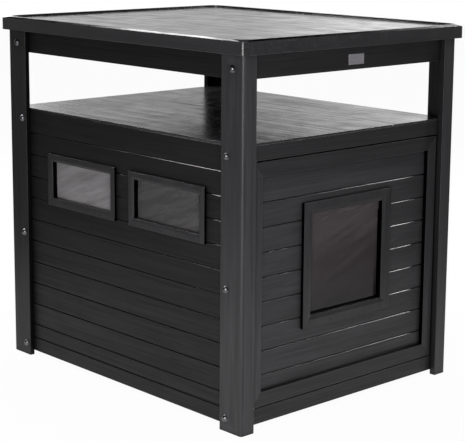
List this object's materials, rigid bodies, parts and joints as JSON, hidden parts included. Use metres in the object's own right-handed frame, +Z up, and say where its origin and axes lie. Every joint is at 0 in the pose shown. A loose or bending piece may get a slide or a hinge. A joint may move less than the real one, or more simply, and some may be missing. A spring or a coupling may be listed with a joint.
{
  "type": "cat litter box cabinet",
  "caption": "Side-table cabinet that hides a litter tray: plank walls, hinged front door with a cat entry and swing flap, side windows, open shelf and moulded top.",
  "frame": {"origin": "middle of the bounding box at ground level, under the feet", "axes": "+Z up, the door faces -Y, the windowed sides face -X and +X"},
  "size_m": [0.61, 0.757, 0.735],
  "materials": {
    "charcoal_board": "satin, fine embossed wood grain, near black",
    "trim_board": "smooth satin, near black",
    "smoked_acrylic": "polished, bronze-smoked",
    "steel": "zinc-plated, domed heads polished",
    "bush_nylon": "natural nylon",
    "black_plastic": "fine matt",
    "plate_metal": "satin, blank"
  },
  "bodies": {
    "cabinet": {"apron_back": "charcoal_board", "apron_front": "charcoal_board", "apron_left": "charcoal_board", "apron_right": "charcoal_board", "back_planks": "charcoal_board", "blank_plate": "plate_metal", "bolts_left": "steel", "bolts_right": "steel", "bottom_rail_back": "charcoal_board", "bottom_rail_front": "charcoal_board", "bottom_rail_left": "charcoal_board", "bottom_rail_right": "charcoal_board", "corner_battens": "charcoal_board", "corner_blocks": "charcoal_board", "floor_board": "charcoal_board", "floor_cleats": "charcoal_board", "front_jamb_left": "charcoal_board", "front_jamb_right": "charcoal_board", "inserts_left": "steel", "inserts_right": "steel", "magnet_catch": "black_plastic", "pane_retainers_left": "trim_board", "pane_retainers_right": "trim_board", "panel_battens": "charcoal_board", "pivot_bushes": "bush_nylon", "post_back_left": "charcoal_board", "post_back_right": "charcoal_board", "post_front_left": "charcoal_board", "post_front_right": "charcoal_board", "shelf_board": "charcoal_board", "shelf_rail_front": "charcoal_board", "side_planks_left": "charcoal_board", "side_planks_right": "charcoal_board", "table_top": "charcoal_board", "top_screws": "steel", "window_frame_left_back": "trim_board", "window_frame_left_front": "trim_board", "window_frame_right_back": "trim_board", "window_frame_right_front": "trim_board", "window_pane_left_back": "smoked_acrylic", "window_pane_left_front": "smoked_acrylic", "window_pane_right_back": "smoked_acrylic", "window_pane_right_front": "smoked_acrylic"},
    "door": {"door_rail_bottom": "charcoal_board", "door_stile_right": "charcoal_board", "door_rail_top": "charcoal_board", "door_stile_left": "charcoal_board", "door_planks": "charcoal_board", "entry_frame": "trim_board", "entry_trim": "trim_board", "door_pivots": "steel", "strike_plate": "steel"},
    "flap": {"flap_panel": "smoked_acrylic", "flap_rail": "black_plastic"}
  },
  "joints": [
    {"name": "door_hinge", "type": "hinge", "parent": "cabinet", "child": "door", "pos_m": [-0.25, -0.3445, 0.275], "axis": [0, 0, -1], "range_deg": [0, 90]},
    {"name": "flap_hinge", "type": "hinge", "parent": "door", "child": "flap", "pos_m": [0.0025, -0.3387, 0.38708], "axis": [1, 0, 0], "range_deg": [-80, 80]}
  ]
}
